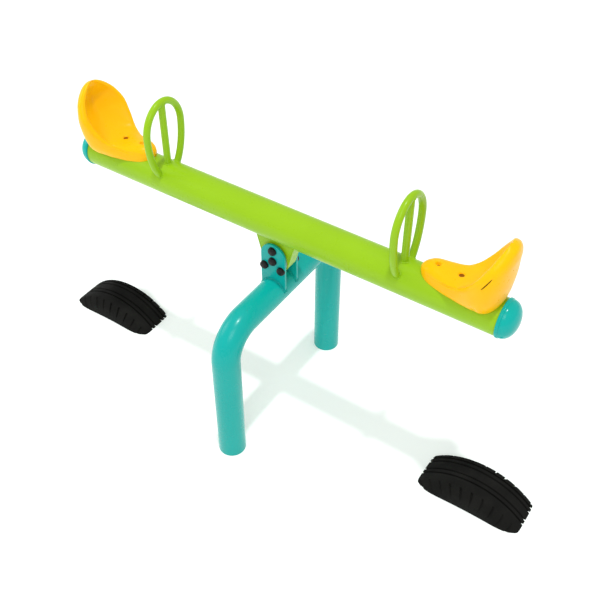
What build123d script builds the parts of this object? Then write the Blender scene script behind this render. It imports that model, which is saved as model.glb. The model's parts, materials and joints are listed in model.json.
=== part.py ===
"""Two-seat playground seesaw: a welded steel stand with a tilting beam on rubber torsion bushes.

Units are millimetres. X runs along the beam, Y along the cross tube, Z is up. The origin is on the
ground under the pivot. Each piece is written to parts/NAME.step in its place at rest.
"""

import os
from math import asin, cos, pi, sin

from build123d import *

# Stand frame
FRAME_OD = 108.0
FRAME_WALL = 4.0
LEG_HALF_SPACING = 350.0
CROSS_TUBE_Z = 614.0
BEND_RADIUS = 125.0
PLUG_THICKNESS = 8.0

# Pivot
PIVOT_Z = 758.0
EAR_INNER_Y = 33.0
EAR_THICKNESS = 10.0
EAR_HALF_WIDTH = 53.0
EAR_TOP_Z = 832.0
BOLT_CIRCLE_RADIUS = 48.0
BOLT_ANGLES = (90, 220, 320)
FLANGE_RADIUS = 54.0
FLANGE_THICKNESS = 5.0
BOSS_OD = 44.0
BOSS_END_Y = 8.0
AXLE_DIAMETER = 30.0
AXLE_THREAD_DIAMETER = 16.0
STOP_PIN_DIAMETER = 10.0
STOP_PIN_LENGTH = 62.0
STOP_RING_WIDTH = 12.0
TILT_LIMIT = 20.0
RUNNING_GAP = 0.05

# Hub and saddle, which tilt with the beam
HUB_OD = 82.0
HUB_ID = 70.0
SADDLE_HALF_WIDTH = 27.0
SADDLE_RADIUS = 58.0
SADDLE_AXIS_HALF_LENGTH = 102.0
SADDLE_STRIP = 5.0
GUSSET_THICKNESS = 6.0

# Beam
BEAM_OD = 133.0
BEAM_WALL = 5.0
BEAM_HALF_LENGTH = 870.0
BEAM_Z = 908.0
CAP_LIP_OD = 141.0
CAP_LIP_WIDTH = 12.0
CAP_LIP_STEP = 2.5
CAP_DOME_DEPTH = 45.0
CAP_SPIGOT_DEPTH = 30.0
CAP_WALL = 4.0

# Handles
HANDLE_X = 507.0
HANDLE_OD = 26.9
HANDLE_WALL = 2.6
HOOP_FOOT_Z = 938.0
HOOP_CENTRE_Z = 1118.0
HOOP_HALF_WIDTH = 94.0
HOOP_RISE = 114.0
HOOP_DROP = 200.0
# Share of the rise at which the hoop's spline has its shoulder points
HOOP_SHOULDER = 0.70

# Seats
SEAT_BOLT_X = (627.0, 711.0)
SEAT_BOLT_DIAMETER = 10.0
SEAT_BOLT_LENGTH = 54.0
SEAT_BOLT_HEAD_RADIUS = 9.0
SEAT_BOLT_HEAD_HEIGHT = 6.0
SEAT_NUT_ACROSS_FLATS = 16.0
SEAT_NUT_HEIGHT = 8.0
SEAT_RECESS_DIAMETER = 24.0
SEAT_RECESS_Z = 1001.0
SEAT_HEM_Z = 936.0
# Rim line X and Z, lean from level in degrees, half width, depth from the rim line to the inner and
# to the outer face (a crown over the rim line is a negative inner depth), and fullness of the outer face
SEAT_STATIONS = [
    (572.0, 986.0, 0, 12, -8, 12, 0.7),
    (586.0, 987.0, 0, 29, -20, 40, 0.6),
    (612.0, 989.0, 0, 43, -29, 60, 0.5),
    (660.0, 991.0, 2, 55, -26, 64, 0.5),
    (700.0, 998.0, 15, 70, -12, 70, 0.6),
    (735.0, 1018.0, 34, 84, 6, 98, 0.8),
    (767.0, 1054.0, 50, 104, 26, 104, 0.9),
    (798.0, 1103.0, 60, 111, 42, 92, 0.9),
    (825.0, 1152.0, 64, 92, 40, 60, 0.9),
    (839.0, 1182.0, 66, 63, 24, 40, 0.9),
    (848.0, 1203.0, 68, 30, 8, 22, 0.9),
]

# Ground tyres
TYRE_X = 911.0
TYRE_OFFSET_Y = {"left": 6.0, "right": -16.0}
TYRE_RADIUS = 290.0
TYRE_CROWN_Z = 92.0
TYRE_TREAD_HALF_WIDTH = 80.0
TYRE_SECTION_HALF_WIDTH = 96.0
TYRE_SIDEWALL_DEPTH = 108.0

# Fasteners, all the same M16 size at the pivot
NUT_ACROSS_FLATS = 24.0
NUT_HEIGHT = 8.0
WASHER_OD = 30.0
WASHER_THICKNESS = 2.5
COVER_OD = 34.0
COVER_HEIGHT = 14.5
COVER_DOME = 5.5

SIDES = {"near": -1, "far": 1}
ENDS = {"left": -1, "right": 1}


def along_y(radius, start, end, x=0.0, z=0.0):
    """A cylinder along Y between two Y positions."""
    middle = (start + end) / 2
    return Pos(x, middle, z) * Rot(90, 0, 0) * Cylinder(radius, abs(end - start))


def along_x(radius, start, end, y=0.0, z=0.0):
    """A cylinder along X between two X positions."""
    middle = (start + end) / 2
    return Pos(middle, y, z) * Rot(0, 90, 0) * Cylinder(radius, abs(end - start))


def box_between(low, high):
    """A box between two opposite corners."""
    size = [high[i] - low[i] for i in range(3)]
    middle = [(high[i] + low[i]) / 2 for i in range(3)]
    return Pos(*middle) * Box(*size)


def dome_middle(edge, top):
    """The point half way along the arc of a dome, from its edge to its top on the axis."""
    base_radius, base = edge
    height = top - base
    sphere_radius = (base_radius**2 + height**2) / (2 * height)
    half_angle = asin(base_radius / sphere_radius) / 2
    if height > base_radius:
        half_angle = (pi - asin(base_radius / sphere_radius)) / 2
    return (sphere_radius * sin(half_angle), top - sphere_radius * (1 - cos(half_angle)))


def turned(outline):
    """A solid of revolution about Z from an outline of radius and height."""
    return revolve(make_face(Plane.XZ * Curve(children=outline)), Axis.Z, 360)


def bolt_positions():
    """The three bolt positions round the pivot, as X and Z."""
    spots = []
    for angle in BOLT_ANGLES:
        spot = Vector(BOLT_CIRCLE_RADIUS, 0, 0).rotate(Axis.Z, angle)
        spots.append((spot.X, PIVOT_Z + spot.Y))
    return spots


def fastener_positions():
    """The three bolts and the axle end, as X and Z."""
    return [*bolt_positions(), (0.0, PIVOT_Z)]


def bent_tube(path, outer_diameter, wall):
    """A round tube swept along a path."""
    start = Plane(path @ 0, z_dir=path % 0)
    outer = sweep(start * Circle(outer_diameter / 2), path=path)
    inner = sweep(start * Circle(outer_diameter / 2 - wall), path=path)
    return outer - inner


# The stand


def u_frame():
    """The inverted U of tube, cut flat at the ground."""
    points = [
        (0, -LEG_HALF_SPACING, 0),
        (0, -LEG_HALF_SPACING, CROSS_TUBE_Z),
        (0, LEG_HALF_SPACING, CROSS_TUBE_Z),
        (0, LEG_HALF_SPACING, 0),
    ]
    path = FilletPolyline(*points, radius=BEND_RADIUS)
    return bent_tube(path, FRAME_OD, FRAME_WALL)


def leg_plugs():
    """The steel discs that close the lower leg ends, flush with the ground."""
    radius = FRAME_OD / 2 - FRAME_WALL
    plugs = []
    for side in SIDES.values():
        disc = Pos(0, side * LEG_HALF_SPACING, PLUG_THICKNESS / 2) * Cylinder(radius, PLUG_THICKNESS)
        plugs.append(disc)
    return Compound(children=plugs)


def ear_plate(side):
    """A round-topped plate that sits over the cross tube and carries the pivot."""
    inner = side * EAR_INNER_Y
    outer = side * (EAR_INNER_Y + EAR_THICKNESS)
    shoulder_z = EAR_TOP_Z - EAR_HALF_WIDTH
    low = (-EAR_HALF_WIDTH, min(inner, outer), CROSS_TUBE_Z)
    high = (EAR_HALF_WIDTH, max(inner, outer), shoulder_z)
    plate = box_between(low, high) + along_y(EAR_HALF_WIDTH, inner, outer, z=shoulder_z)
    plate -= along_y(FRAME_OD / 2, inner - side, outer + side, z=CROSS_TUBE_Z)
    for x, z in fastener_positions():
        plate -= along_y(AXLE_THREAD_DIAMETER / 2, inner - 5 * side, outer + 5 * side, x, z)
    return plate


def bearing_flange(side):
    """A steel flange inside the ear, with the boss that carries the axle and the rubber bush."""
    face = side * EAR_INNER_Y
    back = side * (EAR_INNER_Y - FLANGE_THICKNESS)
    flange = along_y(FLANGE_RADIUS, face, back, z=PIVOT_Z)
    flange += along_y(BOSS_OD / 2, face, side * BOSS_END_Y, z=PIVOT_Z)
    flange -= along_y(AXLE_DIAMETER / 2, side * (EAR_INNER_Y + 1), side * (BOSS_END_Y - 1), z=PIVOT_Z)
    return flange


def pivot_axle():
    """The axle between the two ears, with a smaller threaded end on each side."""
    reach = EAR_INNER_Y + EAR_THICKNESS + WASHER_THICKNESS + NUT_HEIGHT
    axle = along_y(AXLE_DIAMETER / 2, -EAR_INNER_Y, EAR_INNER_Y, z=PIVOT_Z)
    axle += along_y(AXLE_THREAD_DIAMETER / 2, -reach, reach, z=PIVOT_Z)
    axle -= Pos(0, 0, PIVOT_Z) * Cylinder(STOP_PIN_DIAMETER / 2, AXLE_DIAMETER + 2)
    return axle


def stop_pin():
    """The cross pin in the axle that ends the beam's travel."""
    pin = Cylinder(STOP_PIN_DIAMETER / 2, STOP_PIN_LENGTH)
    return Pos(0, 0, PIVOT_Z) * pin


def bearing_bolts(side):
    """The three threaded studs that hold a flange to its ear."""
    face = side * EAR_INNER_Y
    tip = side * (EAR_INNER_Y + EAR_THICKNESS + WASHER_THICKNESS + NUT_HEIGHT)
    radius = AXLE_THREAD_DIAMETER / 2
    return Compound(children=[along_y(radius, face, tip, x, z) for x, z in bolt_positions()])


def pivot_washers(side):
    """The four washers outside an ear."""
    inner = side * (EAR_INNER_Y + EAR_THICKNESS)
    outer = inner + side * WASHER_THICKNESS
    washers = []
    for x, z in fastener_positions():
        disc = along_y(WASHER_OD / 2, inner, outer, x, z)
        washers.append(disc - along_y(AXLE_THREAD_DIAMETER / 2, inner - side, outer + side, x, z))
    return Compound(children=washers)


def pivot_nuts(side):
    """The four hexagon nuts outside an ear."""
    inner = side * (EAR_INNER_Y + EAR_THICKNESS + WASHER_THICKNESS)
    outer = inner + side * NUT_HEIGHT
    nuts = []
    for x, z in fastener_positions():
        hexagon = RegularPolygon(NUT_ACROSS_FLATS / 2, 6, major_radius=False)
        nut = Pos(x, (inner + outer) / 2, z) * Rot(90, 0, 0) * extrude(hexagon, NUT_HEIGHT / 2, both=True)
        nuts.append(nut - along_y(AXLE_THREAD_DIAMETER / 2, inner - side, outer + side, x, z))
    return Compound(children=nuts)


def bolt_covers(side):
    """The four domed plastic covers over the nuts of an ear."""
    base = side * (EAR_INNER_Y + EAR_THICKNESS)
    edge = (COVER_OD / 2, COVER_HEIGHT - COVER_DOME)
    hollow_depth = WASHER_THICKNESS + NUT_HEIGHT
    foot = [(COVER_OD / 2, 0), (WASHER_OD / 2, 0)]
    hollow = [(WASHER_OD / 2, hollow_depth), (0, hollow_depth)]
    outline = [
        ThreePointArc((0, COVER_HEIGHT), dome_middle(edge, COVER_HEIGHT), edge),
        Polyline(edge, *foot, *hollow),
        Line((0, hollow_depth), (0, COVER_HEIGHT)),
    ]
    cover = turned(outline)
    turn = Rot(-90 * side, 0, 0)
    return Compound(children=[Pos(x, base, z) * turn * cover for x, z in fastener_positions()])


def tyre(end):
    """A slice of road tyre set flat on the ground under a seat, open underneath."""
    centre_z = TYRE_CROWN_Z - TYRE_RADIUS
    bead_radius = TYRE_RADIUS - TYRE_SIDEWALL_DEPTH
    outline = [
        (-TYRE_TREAD_HALF_WIDTH + 16, TYRE_RADIUS),
        (TYRE_TREAD_HALF_WIDTH - 16, TYRE_RADIUS),
        (TYRE_TREAD_HALF_WIDTH, TYRE_RADIUS - 9),
        (TYRE_SECTION_HALF_WIDTH - 4, TYRE_RADIUS - 28),
        (TYRE_SECTION_HALF_WIDTH, TYRE_RADIUS - 50),
        (TYRE_SECTION_HALF_WIDTH - 1, TYRE_RADIUS - 74),
        (TYRE_SECTION_HALF_WIDTH - 4, bead_radius),
        (TYRE_SECTION_HALF_WIDTH - 18, bead_radius),
        (TYRE_SECTION_HALF_WIDTH - 14, TYRE_RADIUS - 50),
        (TYRE_TREAD_HALF_WIDTH - 12, TYRE_RADIUS - 24),
        (TYRE_TREAD_HALF_WIDTH - 28, TYRE_RADIUS - 16),
    ]
    mirrored = [(-y, r) for y, r in reversed(outline[2:])]
    section = Plane.YZ * make_face(Polyline(*outline, *mirrored, close=True))
    ring = revolve(section, Axis.Y, 360)
    ring = Pos(ENDS[end] * TYRE_X, TYRE_OFFSET_Y[end], centre_z) * ring
    above = box_between((-2000, -500, 0), (2000, 500, 400))
    piece = ring & above
    return piece.solids().sort_by(Axis.Z)[-1]


# The tilting parts


def hub_tube():
    """The steel tube welded through the saddle round the rubber bushes."""
    hub = along_y(HUB_OD / 2, -SADDLE_HALF_WIDTH, SADDLE_HALF_WIDTH, z=PIVOT_Z)
    return hub - along_y(HUB_ID / 2, -SADDLE_HALF_WIDTH - 1, SADDLE_HALF_WIDTH + 1, z=PIVOT_Z)


def torsion_bush(side):
    """A rubber bush pressed in the hub, bonded to the boss of its flange."""
    inner = side * (STOP_RING_WIDTH / 2 + 2.5)
    outer = side * SADDLE_HALF_WIDTH
    bush = along_y(HUB_ID / 2, inner, outer, z=PIVOT_Z)
    return bush - along_y(BOSS_OD / 2 + RUNNING_GAP, inner - side, outer + side, z=PIVOT_Z)


def stop_ring():
    """The ring in the middle of the hub whose slots let the cross pin swing to the travel limits."""
    half = STOP_RING_WIDTH / 2
    ring = along_y(HUB_ID / 2, -half, half, z=PIVOT_Z)
    ring -= along_y(AXLE_DIAMETER / 2 + 1.0, -half - 1, half + 1, z=PIVOT_Z)
    slot_reach = STOP_PIN_LENGTH / 2 + 1.5
    slot_half = STOP_PIN_DIAMETER / 2 + RUNNING_GAP
    for step in range(9):
        angle = -TILT_LIMIT + step * TILT_LIMIT / 4
        slot = Box(2 * slot_half, STOP_RING_WIDTH + 2, 2 * slot_reach)
        ring -= Pos(0, 0, PIVOT_Z) * Rot(0, angle, 0) * slot
    return ring


def saddle_outline(inset=0.0):
    """The V outline of the saddle in the XZ plane, rounded round the pivot."""
    top_z = BEAM_Z - PIVOT_Z
    top = SADDLE_AXIS_HALF_LENGTH - inset
    lower = Circle(SADDLE_RADIUS - inset)
    crown = Pos(0, top_z) * Rectangle(2 * top, 1.0)
    return make_hull(lower.edges() + crown.edges())


def saddle_solid(half_width, inset=0.0):
    """The saddle outline carried across the saddle width, cut to sit under the beam."""
    block = extrude(Plane.XZ * saddle_outline(inset), half_width, both=True)
    block = Pos(0, 0, PIVOT_Z) * block
    return block - along_x(BEAM_OD / 2, -400, 400, z=BEAM_Z)


def below_beam(shape):
    """The part of a saddle shape under the beam."""
    solids = shape.solids().sort_by(Axis.Z)
    return solids[0]


def saddle_gusset(side):
    """A V-shaped side plate of the saddle, with the hub passing through it."""
    plate = saddle_solid(SADDLE_HALF_WIDTH, SADDLE_STRIP)
    inner = side * (SADDLE_HALF_WIDTH - GUSSET_THICKNESS)
    outer = side * SADDLE_HALF_WIDTH
    slab = box_between((-300, min(inner, outer), 600), (300, max(inner, outer), BEAM_Z))
    plate = plate & slab
    plate -= along_y(HUB_OD / 2, -100, 100, z=PIVOT_Z)
    return below_beam(plate)


def saddle_strip():
    """The strip bent round the V of the saddle and welded to the beam at both ends."""
    outer = saddle_solid(SADDLE_HALF_WIDTH)
    inner = Pos(0, 0, PIVOT_Z) * extrude(Plane.XZ * saddle_outline(SADDLE_STRIP), 100, both=True)
    strip = outer - inner
    limit = box_between((-300, -100, 600), (300, 100, BEAM_Z - 20))
    return below_beam(strip & limit)


def beam_tube():
    """The main tube the two riders sit on."""
    tube = along_x(BEAM_OD / 2, -BEAM_HALF_LENGTH, BEAM_HALF_LENGTH, z=BEAM_Z)
    tube -= along_x(BEAM_OD / 2 - BEAM_WALL, -BEAM_HALF_LENGTH - 1, BEAM_HALF_LENGTH + 1, z=BEAM_Z)
    for x in SEAT_BOLT_X:
        for end in ENDS.values():
            tube -= Pos(end * x, 0, BEAM_Z + BEAM_OD / 2) * Cylinder(SEAT_BOLT_DIAMETER / 2, 20)
    return tube


def end_cap(end):
    """A domed cap with a lip outside the tube and a spigot inside it."""
    sign = ENDS[end]
    spigot_radius = BEAM_OD / 2 - BEAM_WALL
    bore = spigot_radius - CAP_WALL
    base_radius = CAP_LIP_OD / 2 - CAP_LIP_STEP
    tip = CAP_LIP_WIDTH + CAP_DOME_DEPTH
    edge = (base_radius, CAP_LIP_WIDTH)
    inner_edge = (bore, CAP_LIP_WIDTH)
    inner_tip = tip - CAP_WALL
    rim = Polyline(
        edge,
        (CAP_LIP_OD / 2, CAP_LIP_WIDTH),
        (CAP_LIP_OD / 2, 0),
        (spigot_radius, 0),
        (spigot_radius, -CAP_SPIGOT_DEPTH),
        (bore, -CAP_SPIGOT_DEPTH),
        inner_edge,
    )
    outline = [
        ThreePointArc((0, tip), dome_middle(edge, tip), edge),
        rim,
        ThreePointArc(inner_edge, dome_middle(inner_edge, inner_tip), (0, inner_tip)),
        Line((0, inner_tip), (0, tip)),
    ]
    return Pos(sign * BEAM_HALF_LENGTH, 0, BEAM_Z) * Rot(0, 90 * sign, 0) * turned(outline)


def hoop_path(end):
    """The centre line of a handle hoop, from inside the beam over the top and back."""
    x = ENDS[end] * HANDLE_X
    start_z = HOOP_FOOT_Z
    low = HOOP_HALF_WIDTH * (1 - ((HOOP_CENTRE_Z - start_z) / HOOP_DROP) ** 2) ** 0.5
    middle = (HOOP_CENTRE_Z + start_z) / 2
    wide = HOOP_HALF_WIDTH * (1 - ((HOOP_CENTRE_Z - middle) / HOOP_DROP) ** 2) ** 0.5
    high_z = HOOP_CENTRE_Z + HOOP_RISE * HOOP_SHOULDER
    high = HOOP_HALF_WIDTH * (1 - HOOP_SHOULDER**2) ** 0.5
    points = [(-low, start_z), (-wide, middle), (-HOOP_HALF_WIDTH, HOOP_CENTRE_Z), (-high, high_z)]
    points += [(0, HOOP_CENTRE_Z + HOOP_RISE)]
    points += [(high, high_z), (HOOP_HALF_WIDTH, HOOP_CENTRE_Z), (wide, middle), (low, start_z)]
    return Spline(*[(x, y, z) for y, z in points])


def handle_hoop(end):
    """The bent hoop the rider holds, welded to both flanks of the beam."""
    hoop = bent_tube(hoop_path(end), HANDLE_OD, HANDLE_WALL)
    hoop -= along_x(BEAM_OD / 2, -1200, 1200, z=BEAM_Z)
    return hoop.solids().sort_by(Axis.Z)[-1]


def handle_bar(end):
    """The upright in the middle of the hoop, from the beam to the hoop's top."""
    x = ENDS[end] * HANDLE_X
    top_z = HOOP_CENTRE_Z + HOOP_RISE
    bar = Pos(x, 0, (BEAM_Z + top_z) / 2) * Cylinder(HANDLE_OD / 2, top_z - BEAM_Z)
    bar -= Pos(x, 0, (BEAM_Z + top_z) / 2) * Cylinder(HANDLE_OD / 2 - HANDLE_WALL, top_z - BEAM_Z + 2)
    bar -= along_x(BEAM_OD / 2, -1200, 1200, z=BEAM_Z)
    path = hoop_path(end)
    bar -= sweep(Plane(path @ 0, z_dir=path % 0) * Circle(HANDLE_OD / 2), path=path)
    return bar.solids().sort_by(SortBy.VOLUME)[-1]


def seat_section(x, z, lean, half_width, inner_depth, outer_depth, fullness):
    """A seat's section square to its rim line: an outer curve and an inner curve from rim to rim."""
    heading = Vector(1, 0, 0).rotate(Axis.Y, -lean)
    plane = Plane((x, 0, z), x_dir=(0, 1, 0), z_dir=heading)
    turns = [pi * i / 10 for i in range(11)]
    outer = [(half_width * cos(t), -outer_depth * abs(sin(t)) ** fullness) for t in turns]
    inner = [(half_width * cos(t), -inner_depth * abs(sin(t))) for t in turns]
    outer[-1] = inner[-1] = (-half_width, 0.0)
    return plane * make_face(Spline(*outer) + Spline(*inner))


def seat(end):
    """A moulded bucket seat: a rounded nose over the beam and a scooped back behind the rider."""
    body = loft([seat_section(*station) for station in SEAT_STATIONS])
    body -= along_x(BEAM_OD / 2, 400, 1200, z=BEAM_Z)
    body -= box_between((400, -300, 700), (1200, 300, SEAT_HEM_Z))
    body -= along_x(CAP_LIP_OD / 2 + 1.5, BEAM_HALF_LENGTH - 2, 1200, z=BEAM_Z)
    for x in SEAT_BOLT_X:
        body -= Pos(x, 0, BEAM_Z) * Cylinder(SEAT_BOLT_DIAMETER / 2, 300)
        body -= Pos(x, 0, SEAT_RECESS_Z + 50) * Cylinder(SEAT_RECESS_DIAMETER / 2, 100)
    piece = body.solids().sort_by(SortBy.VOLUME)[-1]
    if ENDS[end] < 0:
        piece = mirror(piece, about=Plane.YZ)
    return piece


def seat_bolts():
    """The four button-head bolts that hold the seats to the beam."""
    bolts = []
    for x in SEAT_BOLT_X:
        for end in ENDS.values():
            shank_z = SEAT_RECESS_Z - SEAT_BOLT_LENGTH / 2
            shank = Pos(end * x, 0, shank_z) * Cylinder(SEAT_BOLT_DIAMETER / 2, SEAT_BOLT_LENGTH)
            head_z = SEAT_RECESS_Z + SEAT_BOLT_HEAD_HEIGHT / 2
            head = Pos(end * x, 0, head_z) * Cylinder(SEAT_BOLT_HEAD_RADIUS, SEAT_BOLT_HEAD_HEIGHT)
            bolts.append(shank + head)
    return Compound(children=bolts)


def seat_nuts():
    """The four weld nuts inside the beam under the seats."""
    nuts = []
    low = BEAM_Z + BEAM_OD / 2 - BEAM_WALL - 1.0 - SEAT_NUT_HEIGHT
    hexagon = RegularPolygon(SEAT_NUT_ACROSS_FLATS / 2, 6, major_radius=False)
    for x in SEAT_BOLT_X:
        for end in ENDS.values():
            nut = Pos(end * x, 0, low) * extrude(hexagon, SEAT_NUT_HEIGHT)
            nuts.append(nut - Pos(end * x, 0, low) * Cylinder(SEAT_BOLT_DIAMETER / 2, 30))
    return Compound(children=nuts)


def pieces():
    """Every piece by node name."""
    made = {
        "u_frame": u_frame(),
        "leg_plugs": leg_plugs(),
        "pivot_axle": pivot_axle(),
        "stop_pin": stop_pin(),
        "hub_tube": hub_tube(),
        "stop_ring": stop_ring(),
        "saddle_strip": saddle_strip(),
        "beam_tube": beam_tube(),
        "seat_bolts": seat_bolts(),
        "seat_nuts": seat_nuts(),
    }
    for name, side in SIDES.items():
        made[f"{name}_ear_plate"] = ear_plate(side)
        made[f"{name}_bearing_flange"] = bearing_flange(side)
        made[f"{name}_flange_studs"] = bearing_bolts(side)
        made[f"{name}_pivot_washers"] = pivot_washers(side)
        made[f"{name}_pivot_nuts"] = pivot_nuts(side)
        made[f"{name}_bolt_covers"] = bolt_covers(side)
        made[f"{name}_torsion_bush"] = torsion_bush(side)
        made[f"{name}_saddle_gusset"] = saddle_gusset(side)
    for end in ENDS:
        made[f"{end}_tyre"] = tyre(end)
        made[f"{end}_end_cap"] = end_cap(end)
        made[f"{end}_handle_hoop"] = handle_hoop(end)
        made[f"{end}_handle_bar"] = handle_bar(end)
        made[f"{end}_seat"] = seat(end)
    return made


def main():
    """Writes one STEP file for each node."""
    os.makedirs("parts", exist_ok=True)
    for name, shape in pieces().items():
        export_step(shape, f"parts/{name}.step")


main()
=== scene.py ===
"""The finished look of a two-seat playground seesaw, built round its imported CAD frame.

Lengths are in metres. X runs along the beam, Y along the stand's cross tube and Z is up. The origin
is on the ground under the pivot. Each sub-assembly is a class whose fields are its sizes and whose
methods build its pieces as numpy surfaces and dress them.
"""

import json
import logging
import math
from dataclasses import dataclass, field
from enum import Enum

import bpy
import numpy as np
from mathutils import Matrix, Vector


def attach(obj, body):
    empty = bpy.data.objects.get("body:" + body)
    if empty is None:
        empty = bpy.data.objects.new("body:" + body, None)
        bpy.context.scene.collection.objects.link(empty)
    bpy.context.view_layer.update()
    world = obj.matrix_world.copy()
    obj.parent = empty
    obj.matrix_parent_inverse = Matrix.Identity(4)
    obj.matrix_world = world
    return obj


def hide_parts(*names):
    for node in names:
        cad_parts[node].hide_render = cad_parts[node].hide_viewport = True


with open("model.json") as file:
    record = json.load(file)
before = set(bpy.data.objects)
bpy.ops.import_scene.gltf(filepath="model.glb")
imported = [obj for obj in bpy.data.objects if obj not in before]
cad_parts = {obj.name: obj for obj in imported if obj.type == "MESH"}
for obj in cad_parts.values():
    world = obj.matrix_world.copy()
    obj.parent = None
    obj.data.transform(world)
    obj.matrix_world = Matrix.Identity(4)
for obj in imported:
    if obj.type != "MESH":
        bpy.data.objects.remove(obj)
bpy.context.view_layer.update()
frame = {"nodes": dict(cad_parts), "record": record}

LOG = logging.getLogger("seesaw")

Grid = np.ndarray
MeshData = tuple[np.ndarray, list[tuple[int, ...]]]
Triple = tuple[float, float, float]

X_WAY, Y_WAY, Z_WAY = np.eye(3)
QUARTER = math.pi / 2
EDGE = 0.0012  # chamfer of cut tube ends, plates and strips
POLE_RADIUS = 0.00005  # the last ring of a dome, almost a point
WELD_LIFT = 0.0005  # how far a weld's line lies outside the tube that it follows


class Body(Enum):
    """The two rigid bodies of the seesaw."""

    STAND = "stand"
    BEAM = "beam"


class Sign(Enum):
    """A sign of one axis, with a name."""

    @property
    def label(self) -> str:
        """The name as the nodes spell it."""
        return self.name.lower()


class End(Sign):
    """The two ends of the beam, with the sign of X."""

    LEFT = -1
    RIGHT = 1


class Side(Sign):
    """The two sides of the beam, with the sign of Y."""

    NEAR = -1
    FAR = 1


# Mesh making


def grid_quads(rows: int, cols: int, wrap_rows: bool, wrap_cols: bool) -> np.ndarray:
    """Faces of a grid of points, row after row.

    Args:
        rows: number of rows of points.
        cols: number of points in a row.
        wrap_rows: joins the last row to the first.
        wrap_cols: joins the last point of each row to its first.

    Returns:
        An array of four indices for each face.
    """
    row = np.arange(rows if wrap_rows else rows - 1)[:, None]
    col = np.arange(cols if wrap_cols else cols - 1)[None, :]
    next_row = (row + 1) % rows
    next_col = (col + 1) % cols
    here, there = row * cols, next_row * cols
    corners = (here + col, here + next_col, there + next_col, there + col)
    shape = (row.size, col.size)
    return np.stack([np.broadcast_to(c, shape) for c in corners], axis=-1).reshape(-1, 4)


def surface(grid: Grid, wrap_rows: bool = False, wrap_cols: bool = False,
            caps: bool = False) -> MeshData:
    """The mesh of a grid of points, with its two end rows filled if asked.

    Args:
        grid: points as rows by columns by 3.
        wrap_rows: closes the surface along the rows.
        wrap_cols: closes each row.
        caps: fills the first and the last row with one face each.

    Returns:
        The vertices and the faces.
    """
    rows, cols = grid.shape[:2]
    faces = [tuple(f) for f in grid_quads(rows, cols, wrap_rows, wrap_cols).tolist()]
    if caps:
        faces.append(tuple(range(cols - 1, -1, -1)))
        faces.append(tuple(range((rows - 1) * cols, rows * cols)))
    return grid.reshape(-1, 3), faces


def joined(parts: list[MeshData]) -> MeshData:
    """Several meshes as one, with their faces renumbered."""
    vertices, faces, start = [], [], 0
    for points, polygons in parts:
        vertices.append(points)
        faces += [tuple(i + start for i in polygon) for polygon in polygons]
        start += len(points)
    return np.concatenate(vertices), faces


def carried(profile: np.ndarray, path: np.ndarray, across: np.ndarray, up: np.ndarray) -> Grid:
    """A flat profile carried along a path.

    Each point is the path's point plus the profile's first number times the across direction plus
    its second number times the up direction.

    Args:
        profile: the section as points by 2.
        path: the line as points by 3.
        across: unit directions at each path point.
        up: unit directions at each path point.

    Returns:
        The points, path by profile by 3.
    """
    first = profile[None, :, 0, None] * across[:, None, :]
    second = profile[None, :, 1, None] * up[:, None, :]
    return path[:, None, :] + first + second


def tiled(way: np.ndarray, count: int) -> np.ndarray:
    """One direction, repeated for each point of a path."""
    return np.tile(way, (count, 1))


def rod(radius: float, path: np.ndarray, across: np.ndarray, out: np.ndarray) -> MeshData:
    """A solid round bar along a path.

    Args:
        radius: its radius.
        path: its centre line.
        across: unit directions square to the path.
        out: unit directions square to both.

    Returns:
        The vertices and the faces.
    """
    return surface(carried(circle(radius, 36), path, across, out), wrap_cols=True, caps=True)


def circle(radius: float, count: int) -> np.ndarray:
    """A circle as points by 2: radius times the cosine and sine of equal steps of a full turn."""
    turn = np.linspace(0.0, 2.0 * math.pi, count, endpoint=False)
    return radius * np.stack([np.cos(turn), np.sin(turn)], axis=-1)


def tangents(path: np.ndarray, closed: bool = False) -> np.ndarray:
    """Unit directions along a path, from the difference of each point's neighbours."""
    if closed:
        step = np.roll(path, -1, axis=0) - np.roll(path, 1, axis=0)
    else:
        step = np.gradient(path, axis=0)
    return step / np.linalg.norm(step, axis=1, keepdims=True)


def turned(profile: np.ndarray, centre: Vector, axis: str, sign: int, count: int) -> MeshData:
    """A profile of distance along an axis and radius, turned round that axis.

    A point is the centre plus its distance along the axis plus its radius times the cosine and the
    sine of the turn along the other two axes.

    Args:
        profile: points of distance along the axis and radius, as an outline that is either closed
            or ends at the axis.
        centre: where distance and radius are zero.
        axis: X or Y.
        sign: 1 or -1, the way that distance runs along the axis.
        count: steps in the full turn.

    Returns:
        The vertices and the faces.
    """
    turn = np.linspace(0.0, 2.0 * math.pi, count, endpoint=False)
    along = np.repeat(profile[:, :1], count, axis=1) * sign
    first = profile[:, 1:] * np.cos(turn)[None, :]
    second = profile[:, 1:] * np.sin(turn)[None, :] * sign
    layout = {"X": (along, first, second), "Y": (second, along, first)}[axis]
    grid = np.stack(layout, axis=-1) + np.array(centre)
    return surface(grid, wrap_cols=True)


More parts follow.
